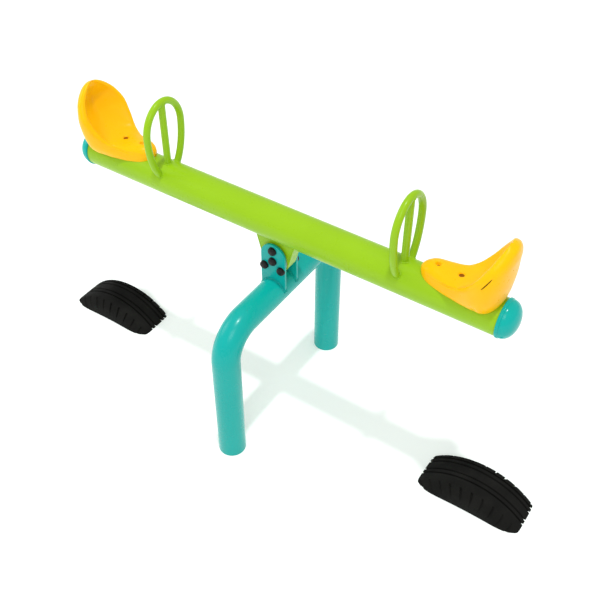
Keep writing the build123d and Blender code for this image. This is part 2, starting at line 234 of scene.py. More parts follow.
def rounded(points: list[tuple[float, float, float]], steps: int = 6) -> np.ndarray:
    """An open outline with its corners rounded.

    A corner of radius r is an arc that touches both of its edges, made by turning from one edge's
    normal to the other's round the arc's centre.

    Args:
        points: each corner's two coordinates and its radius.
        steps: points on each arc.

    Returns:
        The outline as points by 2.
    """
    corners = np.array(points)
    out: list[np.ndarray] = []
    for i, (x, y, radius) in enumerate(points):
        here = corners[i, :2]
        if radius <= 0 or i in (0, len(points) - 1):
            out.append(here[None, :])
            continue
        back = corners[i - 1, :2] - here
        ahead = corners[i + 1, :2] - here
        back /= np.linalg.norm(back)
        ahead /= np.linalg.norm(ahead)
        half = math.acos(float(np.clip(back @ ahead, -1, 1))) / 2
        reach = radius / math.tan(half)
        start, stop = here + back * reach, here + ahead * reach
        bisector = back + ahead
        centre = here + bisector / np.linalg.norm(bisector) * radius / math.sin(half)
        share = np.linspace(0, 1, steps)[:, None]
        chord = start * (1 - share) + stop * share - centre
        out.append(centre + chord / np.linalg.norm(chord, axis=1, keepdims=True) * radius)
    return np.concatenate(out)


def slab(outline: np.ndarray, low: float, high: float, edge: float) -> MeshData:
    """A plate in the XZ plane between two Y positions, with its edges rounded.

    The outline is repeated in layers across the thickness. Near each face it moves inwards along
    its own normals by edge minus the height of a quarter circle of that radius.

    Args:
        outline: closed outline in X and Z, anticlockwise seen from the near side.
        low: Y of the near face.
        high: Y of the far face.
        edge: radius of the edges.

    Returns:
        The vertices and the faces.
    """
    direction = tangents(outline, closed=True)
    outward = np.stack([direction[:, 1], -direction[:, 0]], axis=-1)
    turn = np.linspace(0.0, QUARTER, 5)
    inset = edge * (1 - np.sin(turn))
    depth = edge * (1 - np.cos(turn))
    insets = np.concatenate([inset, inset[::-1]])
    layers = np.concatenate([low + depth, high - depth[::-1]])
    ring = outline[None, :, :] - insets[:, None, None] * outward[None, :, :]
    depths = np.broadcast_to(layers[:, None], ring.shape[:2])
    grid = np.stack([ring[..., 0], depths, ring[..., 1]], axis=-1)
    return surface(grid, wrap_cols=True, caps=True)


def placed(name: str, data: bpy.types.ID, place: Triple = (0.0, 0.0, 0.0),
           aim: Triple | None = None) -> bpy.types.Object:
    """Puts a new object into the scene.

    Args:
        name: its name.
        data: its mesh, light or camera.
        place: where it stands.
        aim: the point that its -Z axis faces, if any.

    Returns:
        The object.
    """
    obj = bpy.data.objects.new(name, data)
    obj.location = place
    if aim is not None:
        way = Vector(aim) - Vector(place)
        obj.rotation_euler = way.to_track_quat("-Z", "Y").to_euler()
    bpy.context.scene.collection.objects.link(obj)
    return obj


@dataclass(frozen=True)
class Piece:
    """What one visible piece is and what it stands for."""

    name: str
    body: Body
    slot: str
    stands_for: tuple[str, ...] = ()
    smooth_angle: float = 38.0

    def build(self, data: MeshData, finish: "Finish") -> bpy.types.Object:
        """Makes the object, rides it on its body and hides the nodes that it stands for.

        Args:
            data: the vertices and the faces.
            finish: its finish.

        Returns:
            The new object.
        """
        vertices, faces = data
        mesh = bpy.data.meshes.new(self.name)
        mesh.from_pydata(vertices.tolist(), [], faces)
        mesh.validate()
        mesh.polygons.foreach_set("use_smooth", np.ones(len(mesh.polygons), dtype=bool))
        mesh.set_sharp_from_angle(angle=math.radians(self.smooth_angle))
        mesh.materials.append(finish.material())
        obj = placed(self.name, mesh)
        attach(obj, self.body.value)
        if self.stands_for:
            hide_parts(*self.stands_for)
        LOG.info("built %s with %d faces", self.name, len(mesh.polygons))
        return obj


# Finishes


@dataclass(frozen=True)
class Finish:
    """A named surface finish built from shader nodes on Object coordinates."""

    name: str
    colour: tuple[float, float, float]
    roughness: float = 0.4

    def material(self) -> bpy.types.Material:
        """The finish as a material, made once."""
        found = bpy.data.materials.get(self.name)
        if found is not None:
            return found
        material = bpy.data.materials.new(self.name)
        material.use_nodes = True
        material.diffuse_color = (*self.colour, 1.0)
        self.dress(ShaderDesk(material))
        return material

    def dress(self, desk: "ShaderDesk") -> None:
        """Builds the nodes of the finish."""
        desk.tune({"Base Color": (*self.colour, 1.0), "Roughness": self.roughness})

    def shade(self, factor: float) -> tuple[float, float, float, float]:
        """The finish's colour, lighter or darker by a factor."""
        return (*(min(1.0, c * factor) for c in self.colour), 1.0)


class ShaderDesk:
    """A small helper that adds and links shader nodes."""

    def __init__(self, material: bpy.types.Material) -> None:
        """Takes over a new material's node tree."""
        self.tree = material.node_tree
        self.shader = self.tree.nodes["Principled BSDF"]
        self.place = self.add("ShaderNodeTexCoord").outputs["Object"]

    def add(self, kind: str, inputs: dict[str, object] | None = None,
            **settings: object) -> bpy.types.Node:
        """Adds a node.

        Args:
            kind: its type.
            inputs: values of its unlinked inputs.
            settings: its properties.

        Returns:
            The node.
        """
        node = self.tree.nodes.new(kind)
        for key, value in settings.items():
            setattr(node, key, value)
        self.tune(inputs or {}, node)
        return node

    def tune(self, inputs: dict[str, object], node: bpy.types.Node | None = None) -> None:
        """Sets unlinked inputs of a node, or of the shader itself."""
        for name, value in inputs.items():
            (node or self.shader).inputs[name].default_value = value

    def drive(self, name: str, output: bpy.types.NodeSocket) -> None:
        """Links an output to an input of the shader."""
        self.link(output, self.shader.inputs[name])

    def link(self, output: bpy.types.NodeSocket, target: bpy.types.NodeSocket) -> None:
        """Links an output to an input."""
        self.tree.links.new(output, target)

    def noise(self, scale: float, detail: float = 3.0, stretch: Triple = (1, 1, 1),
              roughness: float = 0.5) -> bpy.types.NodeSocket:
        """A noise pattern's strength on Object coordinates.

        Args:
            scale: features per metre.
            detail: octaves.
            stretch: scaling of the three coordinates.
            roughness: weight of the finer octaves.

        Returns:
            The socket with the pattern.
        """
        mapping = self.add("ShaderNodeMapping", {"Scale": stretch})
        self.link(self.place, mapping.inputs["Vector"])
        node = self.add("ShaderNodeTexNoise",
                        {"Scale": scale, "Detail": detail, "Roughness": roughness})
        self.link(mapping.outputs["Vector"], node.inputs["Vector"])
        return node.outputs["Fac"]

    def ramp(self, source: bpy.types.NodeSocket,
             *stops: tuple[float, tuple[float, float, float, float]]) -> bpy.types.NodeSocket:
        """A colour ramp on a pattern.

        Args:
            source: the pattern.
            stops: positions and colours of its two ends.

        Returns:
            The ramp's colour socket.
        """
        node = self.add("ShaderNodeValToRGB")
        for element, (position, colour) in zip(node.color_ramp.elements, stops):
            element.position = position
            element.color = colour
        self.link(source, node.inputs["Fac"])
        return node.outputs["Color"]

    def spread(self, source: bpy.types.NodeSocket, low: float, high: float) -> bpy.types.NodeSocket:
        """A pattern's middle stretched to run from low to high."""
        node = self.add("ShaderNodeMapRange",
                        {"From Min": 0.3, "From Max": 0.7, "To Min": low, "To Max": high})
        self.link(source, node.inputs["Value"])
        return node.outputs["Result"]

    def bump(self, source: bpy.types.NodeSocket, depth: float, strength: float = 1.0,
             below: bpy.types.NodeSocket | None = None) -> bpy.types.NodeSocket:
        """A bump of a given depth in metres, on top of another one if given."""
        node = self.add("ShaderNodeBump", {"Strength": strength, "Distance": depth})
        self.link(source, node.inputs["Height"])
        if below is not None:
            self.link(below, node.inputs["Normal"])
        return node.outputs["Normal"]


@dataclass(frozen=True)
class PowderCoat(Finish):
    """Gloss powder coat on steel: a faint orange peel and a slight cloudiness in the colour."""

    coat: float = 0.06

    def dress(self, desk: ShaderDesk) -> None:
        """Colour clouds, uneven gloss and a shallow orange-peel bump."""
        cloud = desk.noise(3.5, 2.0)
        colour = desk.ramp(cloud, (0.3, self.shade(0.955)), (0.7, self.shade(1.03)))
        desk.drive("Base Color", colour)
        gloss = desk.noise(28.0, 3.0)
        desk.drive("Roughness", desk.spread(gloss, self.roughness - 0.04, self.roughness + 0.05))
        peel = desk.noise(420.0, 2.0)
        desk.drive("Normal", desk.bump(peel, 0.00006, 0.15))
        desk.tune({"Coat Weight": self.coat, "Coat Roughness": 0.12,
                   "Specular IOR Level": 0.30, "IOR": 1.40})


@dataclass(frozen=True)
class MouldedPlastic(Finish):
    """Rotomoulded or injected plastic: soft gloss, a little light inside and a fine texture."""

    glow: float = 0.0
    shine: float = 0.35
    deep: tuple[float, float, float] = (1.0, 0.45, 0.0)

    def tinted(self, desk: "ShaderDesk", colour: bpy.types.NodeSocket) -> bpy.types.NodeSocket:
        """The colour before it reaches the shader; kept as it is here."""
        return colour

    def dress(self, desk: ShaderDesk) -> None:
        """Colour that deepens in broad clouds, with a fine moulded texture."""
        cloud = desk.noise(5.0, 2.0)
        colour = desk.ramp(cloud, (0.25, (*self.deep, 1.0)), (0.75, (*self.colour, 1.0)))
        desk.drive("Base Color", self.tinted(desk, colour))
        gloss = desk.noise(60.0, 3.0)
        desk.drive("Roughness", desk.spread(gloss, self.roughness - 0.03, self.roughness + 0.05))
        grain = desk.noise(900.0, 2.0)
        desk.drive("Normal", desk.bump(grain, 0.00006, 0.3))
        desk.tune({"Subsurface Weight": self.glow, "Subsurface Radius": (0.012, 0.006, 0.001),
                   "Subsurface Scale": 0.6, "Specular IOR Level": self.shine, "IOR": 1.35})


@dataclass(frozen=True)
class SeatPlastic(MouldedPlastic):
    """Moulded plastic with painted shade that deepens its colour down in the bowl and recesses."""

    # Painted shade: the colour that the bowl and the bolt recesses are mixed towards, for light
    # passed between the walls.
    painted_shade_amber: tuple[float, float, float] = (0.92, 0.46, 0.001)

    def tinted(self, desk: "ShaderDesk", colour: bpy.types.NodeSocket) -> bpy.types.NodeSocket:
        """Mixes towards the deeper orange by the painted shade of the bowl and of its recesses."""
        depth = desk.add("ShaderNodeAttribute", attribute_name="bowl_painted_shade")
        mix = desk.add("ShaderNodeMix", data_type="RGBA")
        near_colour, far_colour, mixed = mix.inputs[6], mix.inputs[7], mix.outputs[2]
        desk.link(depth.outputs["Fac"], mix.inputs["Factor"])
        desk.link(colour, near_colour)
        far_colour.default_value = (*self.painted_shade_amber, 1.0)
        return mixed


@dataclass(frozen=True)
class TyreRubber(Finish):
    """Weathered tyre rubber: dull black with a brownish dust and a fine grain."""

    dust: tuple[float, float, float] = (0.0115, 0.0112, 0.0100)

    def dress(self, desk: ShaderDesk) -> None:
        """Dust in broad patches, a pebbled grain and uneven dullness."""
        cloud = desk.noise(14.0, 4.0)
        colour = desk.ramp(cloud, (0.3, (*self.colour, 1.0)), (0.75, (*self.dust, 1.0)))
        desk.drive("Base Color", colour)
        gloss = desk.noise(40.0, 4.0)
        desk.drive("Roughness", desk.spread(gloss, self.roughness - 0.08, self.roughness + 0.08))
        grain = desk.noise(1500.0, 3.0, roughness=0.7)
        coarse = desk.bump(desk.noise(160.0, 3.0), 0.0003, 0.5)
        desk.drive("Normal", desk.bump(grain, 0.00015, 0.6, coarse))
        desk.tune({"Specular IOR Level": 0.10, "IOR": 1.35})


@dataclass(frozen=True)
class ZincSteel(Finish):
    """Zinc-plated steel: pale metal with a faint spangle and fine scratches."""

    def dress(self, desk: ShaderDesk) -> None:
        """A spangled tone, scratches along one way and a slight bump."""
        spangle = desk.noise(220.0, 4.0)
        desk.drive("Base Color", desk.ramp(spangle, (0.3, self.shade(0.8)), (0.7, self.shade(1.1))))
        scratch = desk.noise(900.0, 2.0, stretch=(1.0, 0.05, 1.0))
        desk.drive("Roughness", desk.spread(scratch, self.roughness - 0.08, self.roughness + 0.1))
        desk.drive("Normal", desk.bump(scratch, 0.00004, 0.4))
        desk.tune({"Metallic": 1.0})


GREEN_COAT = PowderCoat("green_powder_coat", (0.285, 0.515, 0.008), 0.30)
TEAL_COAT = PowderCoat("teal_powder_coat", (0.003, 0.380, 0.345), 0.24)
TEAL_PLASTIC = MouldedPlastic("teal_cap_plastic", (0.004, 0.415, 0.375), 0.16,
                              deep=(0.003, 0.370, 0.335))
YELLOW_PLASTIC = SeatPlastic("yellow_seat_plastic", (1.0, 0.530, 0.001), 0.30, glow=0.12,
                             shine=0.25, deep=(1.0, 0.485, 0.001))
BLACK_PLASTIC = MouldedPlastic("black_cover_plastic", (0.013, 0.011, 0.012), 0.42,
                               deep=(0.009, 0.008, 0.008))
TYRE_RUBBER = TyreRubber("weathered_tyre_rubber", (0.0065, 0.0065, 0.0060), 0.72)
BUSH_RUBBER = TyreRubber("moulded_bush_rubber", (0.016, 0.016, 0.016), 0.6)
ZINC_STEEL = ZincSteel("bright_zinc_plate", (0.60, 0.61, 0.62), 0.34)
# Gold-passivated zinc for the seat bolts, its colour kept dark to paint the shade in their
# recesses.
GOLD_STEEL_PAINTED_SHADE = ZincSteel("gold_passivated_steel_painted_shade", (0.42, 0.15, 0.012), 0.45)
# A dark sheet that paints the shadow inside each seat's slit.
SLIT_SHADOW_SHEET = MouldedPlastic("painted_slit_shadow", (0.010, 0.006, 0.003), 0.7, shine=0.05,
                              deep=(0.007, 0.004, 0.002))


# Sub-assemblies


@dataclass
class StandFrame:
    """The teal stand: a bent tube, the two ear plates and their welds."""

    tube_radius: float = 0.054
    wall: float = 0.004
    half_spacing: float = 0.350
    cross_z: float = 0.614
    bend_radius: float = 0.125
    ear_inner: float = 0.033
    ear_thickness: float = 0.010
    ear_half_width: float = 0.053
    ear_top: float = 0.832
    body: Body = Body.STAND

    def centre_line(self) -> tuple[np.ndarray, np.ndarray]:
        """The tube's line: up one leg, round a quarter circle, across, round another and down.

        Returns:
            The points and the unit directions square to the line in its plane.
        """
        r, w, h = self.bend_radius, self.half_spacing, self.cross_z
        turn = np.linspace(0.0, QUARTER, 29)
        leg = np.stack([np.full(13, -w), np.linspace(0.0, h - r, 13)], axis=-1)
        arc = np.stack([-w + r - r * np.cos(turn), h - r + r * np.sin(turn)], axis=-1)
        span = np.stack([np.linspace(-w + r, 0.0, 9), np.full(9, h)], axis=-1)
        half = np.concatenate([leg[:-1], arc, span[1:]])
        flat = np.concatenate([half, half[-2::-1] * np.array([-1.0, 1.0])])
        path = np.stack([np.zeros(len(flat)), flat[:, 0], flat[:, 1]], axis=-1)
        along = tangents(path)
        inward = np.stack([np.zeros(len(flat)), -along[:, 2], along[:, 1]], axis=-1)
        return path, inward

    def tube(self) -> MeshData:
        """The outer and inner walls of the tube, joined at the two cut ends."""
        path, inward = self.centre_line()
        across = tiled(X_WAY, len(path))
        outer, inner, lead = (carried(circle(self.tube_radius - less, 72), path, across, inward)
                              for less in (0.0, self.wall, EDGE))
        first, last = lead[:1], lead[-1:]
        outer[[0, -1], :, 2] = EDGE
        shell = np.concatenate([first, outer, last, inner[::-1]])
        return surface(shell, wrap_rows=True, wrap_cols=True)

    def ear_outline(self) -> np.ndarray:
        """An ear's outline: a half-round top, straight sides and a notch over the cross tube."""
        w, top = self.ear_half_width, self.ear_top - self.ear_half_width
        edge = math.acos(w / self.tube_radius)
        low = self.cross_z + 0.001
        foot = low + self.tube_radius * math.sin(edge)
        turn = np.linspace(0.0, math.pi, 61)
        crown = np.stack([w * np.cos(turn), top + w * np.sin(turn)], axis=-1)
        left = np.stack([np.full(16, -w), np.linspace(top, foot, 18)[1:-1]], axis=-1)
        notch_turn = np.linspace(math.pi - edge, edge, 61)
        notch = np.stack([self.tube_radius * np.cos(notch_turn),
                          low + self.tube_radius * np.sin(notch_turn)], axis=-1)
        right = np.stack([np.full(16, w), np.linspace(foot, top, 18)[1:-1]], axis=-1)
        return np.concatenate([crown, left, notch, right])

    def ear(self, side: Side) -> MeshData:
        """One ear plate, between its inner and outer faces."""
        faces = (self.ear_inner, self.ear_inner + self.ear_thickness)
        return slab(self.ear_outline(), *sorted(side.value * y for y in faces), EDGE)

    def ear_weld(self, side: Side, outside: bool) -> MeshData:
        """The weld bead between an ear and the cross tube.

        It is a thin round bead along the half circle where the face meets the tube, its thickness
        swelling and shrinking with a sine wave for the ripples.
        """
        reach = self.ear_inner + (self.ear_thickness if outside else 0.0)
        edge = math.acos(self.ear_half_width / self.tube_radius)
        turn = np.linspace(math.pi - edge, edge, 261)
        radius = self.tube_radius + WELD_LIFT
        path = np.stack([radius * np.cos(turn), np.full_like(turn, side.value * reach),
                         self.cross_z + radius * np.sin(turn)], axis=-1)
        out = np.stack([np.cos(turn), np.zeros_like(turn), np.sin(turn)], axis=-1)
        return rippled_bead(path, out, tiled(Y_WAY, len(turn)), 0.0042, 78)

    def build(self) -> None:
        """Builds and dresses the pieces of the stand."""
        tube = Piece("stand_tube", self.body, "teal_coat", ("u_frame",))
        tube.build(self.tube(), TEAL_COAT)
        for side in Side:
            name = f"{side.label}_ear"
            ear = Piece(name, self.body, "teal_coat", (f"{name}_plate",), 30.0)
            ear.build(self.ear(side), TEAL_COAT)
            welds = joined([self.ear_weld(side, outside) for outside in (True, False)])
            Piece(f"{name}_welds", self.body, "teal_coat").build(welds, TEAL_COAT)


def rippled_bead(path: np.ndarray, out: np.ndarray, beside: np.ndarray, size: float,
                 ripples: int) -> MeshData:
    """A weld bead along a path.

    The section is a circle whose radius is the bead's size times one plus a tenth of a sine that
    makes the ripples.

    Args:
        path: the line of the joint.
        out: unit directions away from the first surface.
        beside: unit directions away from the second one.
        size: radius of the bead.
        ripples: ripples along the whole path.

    Returns:
        The vertices and the faces.
    """
    share = np.linspace(0.0, 1.0, len(path))
    swell = 1.0 + 0.10 * np.sin(2 * math.pi * ripples * share)
    fade = np.clip(np.minimum(share, 1 - share) * 40, 0.25, 1.0)
    grid = carried(circle(size, 12), path, out, beside)
    grid = path[:, None, :] + (grid - path[:, None, :]) * (swell * fade)[:, None, None]
    return surface(grid, wrap_cols=True, caps=True)


@dataclass
class PivotFasteners:
    """The domed black covers over the pivot's nuts on both ears."""

    radius: float = 0.017
    height: float = 0.0145
    ear_face: float = 0.043
    pivot_z: float = 0.758
    circle_radius: float = 0.048
    stud_turns: Triple = (90, 220, 320)
    body: Body = Body.STAND

    def places(self) -> list[tuple[float, float]]:
        """X and Z of the axle end and of the three studs round it."""
        r, turns = self.circle_radius, [math.radians(a) for a in self.stud_turns]
        ring = [(r * math.cos(t), self.pivot_z + r * math.sin(t)) for t in turns]
        return [(0.0, self.pivot_z), *ring]

    def cover(self, side: Side, x: float, z: float) -> MeshData:
        """One cover: a short skirt with a small foot, then a dome."""
        r, h = self.radius, self.height
        turn, neck = np.linspace(0.0, QUARTER, 14), r * 0.97
        dome = np.stack([h * 0.42 + h * 0.58 * np.sin(turn), neck * np.cos(turn) ** 0.75], axis=-1)
        foot = np.array([[0.0, r - 0.0015], [0.0, r], [0.0016, r],
                         [0.0026, neck], [h * 0.40, neck]])
        profile = np.concatenate([foot, dome])
        profile[-1, 1] = POLE_RADIUS
        centre = Vector((x, side.value * self.ear_face, z))
        return turned(profile, centre, "Y", side.value, 36)

    def build(self) -> None:
        """Builds the covers of each ear as one piece."""
        for side in Side:
            covers = joined([self.cover(side, x, z) for x, z in self.places()])
            nodes = (f"{side.label}_bolt_covers",)
            piece = Piece(f"{side.label}_nut_covers", self.body, "black_plastic", nodes, 50.0)
            piece.build(covers, BLACK_PLASTIC)


@dataclass
class BeamTube:
    """The long green tube and the teal caps at its ends."""

    radius: float = 0.0665
    wall: float = 0.005
    half_length: float = 0.870
    z: float = 0.908
    lip_radius: float = 0.0705
    lip_width: float = 0.012
    dome_depth: float = 0.045
    body: Body = Body.BEAM

    def tube(self) -> MeshData:
        """The tube's outer and inner walls, joined at both ends by a small chamfer."""
        length = 2 * self.half_length
        x = np.concatenate([[0.0], np.linspace(EDGE, length - EDGE, 61), [length]])
        outer = np.stack([x, np.full_like(x, self.radius)], axis=-1)
        outer[0, 1] = outer[-1, 1] = self.radius - EDGE
        inner = np.stack([x[::-1], np.full_like(x, self.radius - self.wall)], axis=-1)
        profile = np.concatenate([outer, inner, outer[:1]])
        return turned(profile, Vector((-self.half_length, 0.0, self.z)), "X", 1, 96)

    def cap(self, end: End) -> MeshData:
        """A cap: a rounded lip, a shallow step and a dome that is a quarter of an ellipse."""
        lip, step = self.lip_radius, self.lip_radius - 0.0026
        lip_profile = rounded([
            (0.0, self.radius - self.wall, 0.0),
            (0.0, lip, 0.0030),
            (self.lip_width, lip, 0.0035),
            (self.lip_width, step, 0.0),
        ])
        turn = np.linspace(0.0, QUARTER, 25)[1:]
        rise = self.lip_width + self.dome_depth * np.sin(turn)
        dome = np.stack([rise, step * np.cos(turn) ** 0.92], axis=-1)
        profile = np.concatenate([lip_profile, dome])
        profile[-1, 1] = POLE_RADIUS
        centre = Vector((end.value * self.half_length, 0.0, self.z))
        return turned(profile, centre, "X", end.value, 96)

    def build(self) -> None:
        """Builds the tube and both caps."""
        tube = Piece("beam_main_tube", self.body, "green_coat", ("beam_tube",))
        tube.build(self.tube(), GREEN_COAT)
        for end in End:
            nodes = (f"{end.label}_end_cap",)
            cap = Piece(f"{end.label}_dome_cap", self.body, "teal_plastic", nodes, 45.0)
            cap.build(self.cap(end), TEAL_PLASTIC)


@dataclass
class Saddle:
    """The green V-shaped box under the beam that carries the pivot hub."""

    half_width: float = 0.027
    radius: float = 0.058
    top_half: float = 0.086
    strip: float = 0.005
    pivot_z: float = 0.758
    top_z: float = 0.851
    gusset: float = 0.006
    bead: float = 0.0038
    body: Body = Body.BEAM

    def v_line(self, inset: float, count: int = 41) -> np.ndarray:
        """The V outline in X and Z: a straight flank, an arc round the pivot and the other flank.

        The arc starts where a line from the flank's top touches the circle.

        Args:
            inset: how far inside the outer outline.
            count: points on the arc.

        Returns:
            The open outline from the left top to the right top.
        """
        r = self.radius - inset
        top = np.array([self.top_half - inset, self.top_z - self.pivot_z])
        distance = float(np.linalg.norm(top))
        lean = math.atan2(top[1], top[0]) - math.acos(r / distance)
        turn = np.linspace(math.pi - lean, 2 * math.pi + lean, count)
        arc = r * np.stack([np.cos(turn), np.sin(turn)], axis=-1)
        share = np.linspace(0.0, 1.0, 9)[:-1, None]
        left = np.array([-top[0], top[1]]) * (1 - share) + arc[0] * share
        right = arc[-1] * share + top * (1 - share)
        line = np.concatenate([left, arc, right[::-1]])
        return line + np.array([0.0, self.pivot_z])

    def strip_mesh(self) -> MeshData:
        """The bent strip: a rounded flat section carried along the V."""
        line = self.v_line(self.strip / 2)
        path = np.stack([line[:, 0], np.zeros(len(line)), line[:, 1]], axis=-1)
        along = tangents(path)
        out = np.stack([-along[:, 2], np.zeros(len(path)), along[:, 0]], axis=-1)
        across = tiled(Y_WAY, len(path))
        w, t, e = self.half_width, self.strip / 2, EDGE
        corner = np.array([[w - e, t], [w, t - e], [w, e - t], [w - e, -t],
                           [e - w, -t], [-w, e - t], [-w, t - e], [e - w, t]])
        return surface(carried(corner, path, across, out), wrap_cols=True, caps=True)

    def gusset_mesh(self, side: Side) -> MeshData:
        """A side plate inside the strip, with its edges rounded."""
        line = self.v_line(self.strip)
        x = np.linspace(line[-1, 0], line[0, 0], 20)[1:-1]
        outline = np.concatenate([line, np.stack([x, np.full_like(x, self.top_z)], axis=-1)])
        faces = (self.half_width - self.gusset, self.half_width - 0.0006)
        return slab(outline, *sorted(side.value * y for y in faces), 0.0008)

    def beam_weld(self, side: Side, beam: BeamTube) -> MeshData:
        """The weld bead where a gusset meets the beam's underside."""
        y = side.value * (self.half_width + 0.0002)
        x = np.linspace(-self.top_half + 0.003, self.top_half - 0.003, 241)
        z = beam.z - math.sqrt(beam.radius**2 - y**2) - WELD_LIFT
        path = np.stack([x, np.full_like(x, y), np.full_like(x, z)], axis=-1)
        return rippled_bead(path, tiled(Z_WAY, len(x)), tiled(Y_WAY, len(x)), self.bead, 60)

    def end_weld(self, end: End, beam: BeamTube) -> MeshData:
        """The weld bead where an end of the strip meets the beam's underside."""
        y = np.linspace(-self.half_width, self.half_width, 81)
        z = beam.z - np.sqrt(beam.radius**2 - y**2) - WELD_LIFT
        path = np.stack([np.full_like(y, end.value * (self.top_half - 0.0015)), y, z], axis=-1)
        beside = np.stack([np.zeros_like(y), y / beam.radius, (z - beam.z) / beam.radius], axis=-1)
        return rippled_bead(path, tiled(X_WAY, len(y)), beside, self.bead, 20)

    def build(self, beam: BeamTube) -> None:
        """Builds the strip, the gussets and their welds."""
        band = Piece("saddle_band", self.body, "green_coat", ("saddle_strip",), 30.0)
        band.build(self.strip_mesh(), GREEN_COAT)
        for side in Side:
            nodes = (f"{side.label}_saddle_gusset",)
            plate = Piece(f"{side.label}_saddle_plate", self.body, "green_coat", nodes, 30.0)
            plate.build(self.gusset_mesh(side), GREEN_COAT)
        welds = [self.beam_weld(side, beam) for side in Side]
        welds += [self.end_weld(end, beam) for end in End]
        Piece("saddle_welds", self.body, "green_coat").build(joined(welds), GREEN_COAT)


@dataclass
class Handles:
    """The two green hoops, each with an upright in the middle."""

    x: float = 0.507
    tube_radius: float = 0.01345
    centre_z: float = 1.118
    half_width: float = 0.094
    rise: float = 0.114
    drop: float = 0.200
    foot_z: float = 0.938
    tuck: float = 0.004
    weld_lift: float = 0.0004
    body: Body = Body.BEAM

    def hoop_line(self, end: End, count: int = 181) -> np.ndarray:
        """The hoop's centre line.

        Across, it is the half width times the cosine of a turn; upwards, it is the rise times the
        sine above the widest level and the drop times the sine below it.
        """
        low = math.asin((self.foot_z - self.centre_z) / self.drop)
        turn = np.linspace(math.pi - low, low, count)
        height = np.where(np.sin(turn) > 0, self.rise, self.drop) * np.sin(turn)
        return np.stack([np.full(count, end.value * self.x), self.half_width * np.cos(turn),
                         self.centre_z + height], axis=-1)

    def hoop(self, end: End) -> MeshData:
        """The hoop as a round tube along its line."""
        path = self.hoop_line(end)
        along = tangents(path)
        across = tiled(X_WAY, len(path))
        return rod(self.tube_radius, path, across, np.cross(along, across))

    def bar(self, end: End, beam: BeamTube) -> MeshData:
        """The upright as a round tube from inside the beam's top to inside the hoop's top."""
        z = np.linspace(beam.z + beam.radius - self.tuck, self.centre_z + self.rise - self.tuck, 25)
        path = np.stack([np.full_like(z, end.value * self.x), np.zeros_like(z), z], axis=-1)
        return rod(self.tube_radius, path, tiled(X_WAY, len(z)), tiled(Y_WAY, len(z)))

    def bar_weld(self, end: End, beam: BeamTube) -> MeshData:
        """The weld bead round the upright's foot, at the height of the beam's top there."""
        turn = np.linspace(0.0, 2 * math.pi, 121)
        r = self.tube_radius + 0.0008
        y = r * np.sin(turn)
        z = beam.z + np.sqrt(beam.radius**2 - y**2)
        path = np.stack([end.value * self.x + r * np.cos(turn), y, z], axis=-1)
        return self.bead_on(path, beam)

    def hoop_weld(self, end: End, side: Side, beam: BeamTube) -> MeshData:
        """The weld bead where a leg of the hoop meets the beam.

        On each line along the tube it passes the point where the distance from the beam's axis
        falls to the beam's radius.
        """
        path = self.hoop_line(end, 721)[360:]
        across = tiled(X_WAY, len(path))
        section = circle(self.tube_radius + self.weld_lift, 96)
        lines = carried(section, path, across, np.cross(tangents(path), across))
        gap = np.hypot(lines[..., 1], lines[..., 2] - beam.z) - beam.radius
        low, line = np.argmax(gap < 0, axis=0), np.arange(len(section))
        before, after = gap[low - 1, line], gap[low, line]
        share = (before / (before - after))[:, None]
        loop = lines[low - 1, line] * (1 - share) + lines[low, line] * share
        loop = np.concatenate([loop, loop[:1]]) * np.array([1.0, side.value, 1.0])
        return self.bead_on(loop, beam)

    @staticmethod
    def bead_on(path: np.ndarray, beam: BeamTube) -> MeshData:
        """A weld bead along a closed line on the beam's round surface."""
        out = (path - np.array([0.0, 0.0, beam.z])) * np.array([0.0, 1.0, 1.0]) / beam.radius
        return rippled_bead(path, out, np.cross(tangents(path), out), 0.0030, 26)

    def top_weld(self, end: End) -> MeshData:
        """The weld bead round the upright where it meets the hoop's top."""
        turn = np.linspace(0.0, 2 * math.pi, 121)
        r = self.tube_radius
        x = (r + self.weld_lift) * np.cos(turn)
        y = (r + self.weld_lift) * np.sin(turn)
        under = np.sqrt(np.maximum(r**2 - np.minimum(np.abs(x), r) ** 2, 0.0))
        z = self.centre_z + self.rise - under - 0.0006
        path = np.stack([end.value * self.x + x, y, z], axis=-1)
        out = np.stack([np.cos(turn), np.sin(turn), np.zeros_like(turn)], axis=-1)
        return rippled_bead(path, out, np.cross(tangents(path), out), 0.0022, 22)

    def build(self, beam: BeamTube) -> None:
        """Builds both hoops with their uprights and welds."""
        for end in End:
            welds = [self.bar_weld(end, beam), self.top_weld(end)]
            welds += [self.hoop_weld(end, side, beam) for side in Side]
            parts = (("hoop", ("handle_hoop",), self.hoop(end)),
                     ("upright", ("handle_bar",), self.bar(end, beam)),
                     ("handle_welds", (), joined(welds)))
            for name, nodes, data in parts:
                stands_for = tuple(f"{end.label}_{node}" for node in nodes)
                piece = Piece(f"{end.label}_{name}", self.body, "green_coat", stands_for)
                piece.build(data, GREEN_COAT)


def eased(rows: np.ndarray, count: int) -> np.ndarray:
    """Rows of numbers carried smoothly through more steps.

    Between two rows the curve is the cubic that has the rows' values and, at each row, the slope of
    its two neighbours.

    Args:
        rows: the given rows, evenly spaced.
        count: rows wanted.

    Returns:
        The smooth rows.
    """
    place = np.linspace(0, len(rows) - 1, count)
    low = np.minimum(place.astype(int), len(rows) - 2)
    t = (place - low)[:, None]
    slope = np.gradient(rows, axis=0)
    start, stop = rows[low], rows[low + 1]
    return ((2 * t**3 - 3 * t**2 + 1) * start + (t**3 - 2 * t**2 + t) * slope[low]
            + (3 * t**2 - 2 * t**3) * stop + (t**3 - t**2) * slope[low + 1])


def step_up(value: np.ndarray, low: float, high: float) -> np.ndarray:
    """Zero below low, one above high, and three squares less two cubes of the share between."""
    share = np.clip((value - low) / (high - low), 0.0, 1.0)
    return share * share * (3 - 2 * share)


